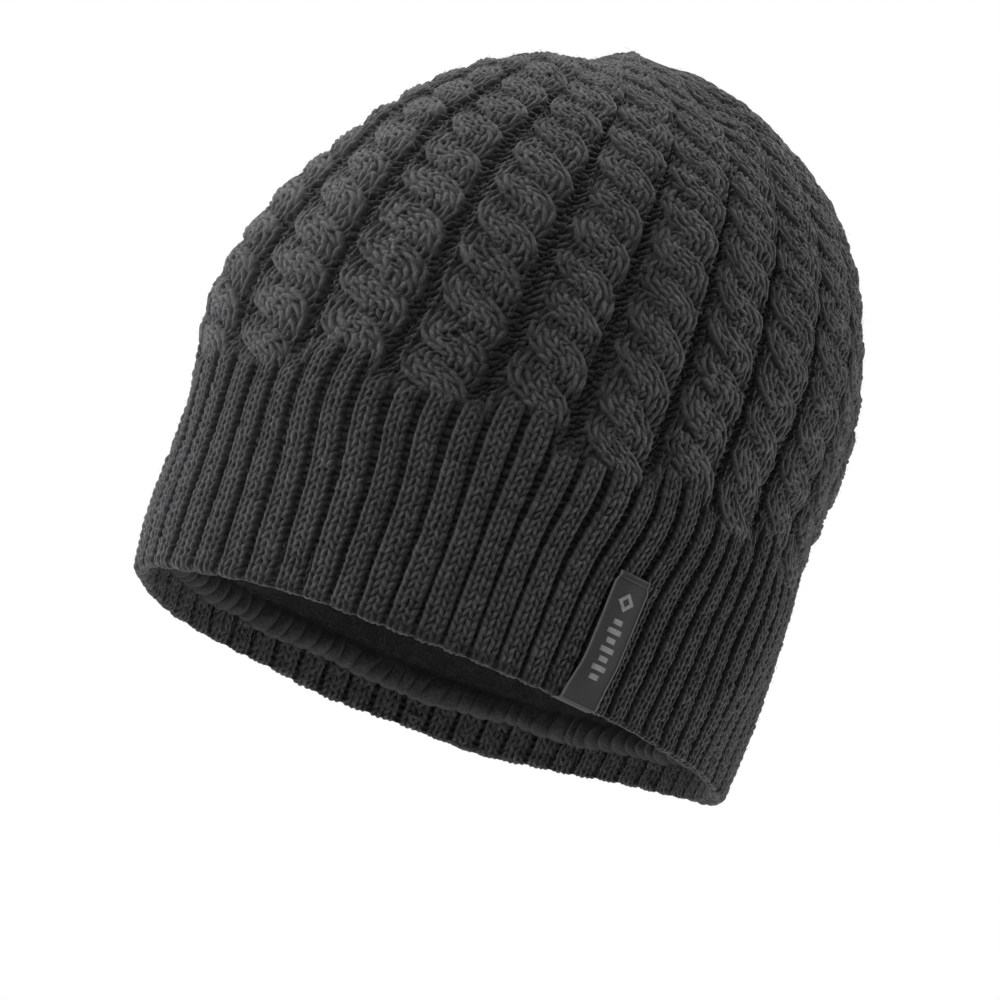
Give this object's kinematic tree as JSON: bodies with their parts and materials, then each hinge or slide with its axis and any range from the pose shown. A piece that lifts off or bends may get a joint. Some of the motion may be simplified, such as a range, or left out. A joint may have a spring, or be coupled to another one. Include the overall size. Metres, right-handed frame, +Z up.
{
  "type": "knit beanie",
  "caption": "Soft close-fitting knitted hat: ribbed band with a small folded label, cable-knit crown gathered to a point, fleece lining inside the band.",
  "frame": {"origin": "middle of the hat's outline, on the plane of the brim's lower edge", "axes": "+Z up towards the crown, -Y the wearer's front, +X the wearer's left, where the brim label sits towards the front"},
  "size_m": [0.1986, 0.17, 0.2045],
  "materials": {
    "knit_yarn": "fuzzy wool-blend knit",
    "fleece": "brushed fleece",
    "label_tape": "woven satin tape",
    "care_ribbon": "plain satin ribbon",
    "thread": "twisted sewing thread"
  },
  "bodies": {
    "hat": {"ribbed_band": "knit_yarn", "cable_crown": "knit_yarn", "fleece_lining_band": "fleece", "lining_lower_stitching": "thread", "lining_upper_stitching": "thread", "lining_join_stitching": "thread", "back_seam_yarn": "knit_yarn", "woven_label": "label_tape", "label_stitching": "thread", "care_label_tab": "care_ribbon", "care_label_stitching": "thread", "crown_gather_yarn": "knit_yarn", "crown_knot": "knit_yarn"},
    "care_flap": {"care_label": "care_ribbon"}
  },
  "joints": [
    {"name": "care_label_hinge", "type": "hinge", "parent": "hat", "child": "care_flap", "pos_m": [0.088, 0, 0.0604], "axis": [0, 1, 0], "range_deg": [0, 110]}
  ]
}
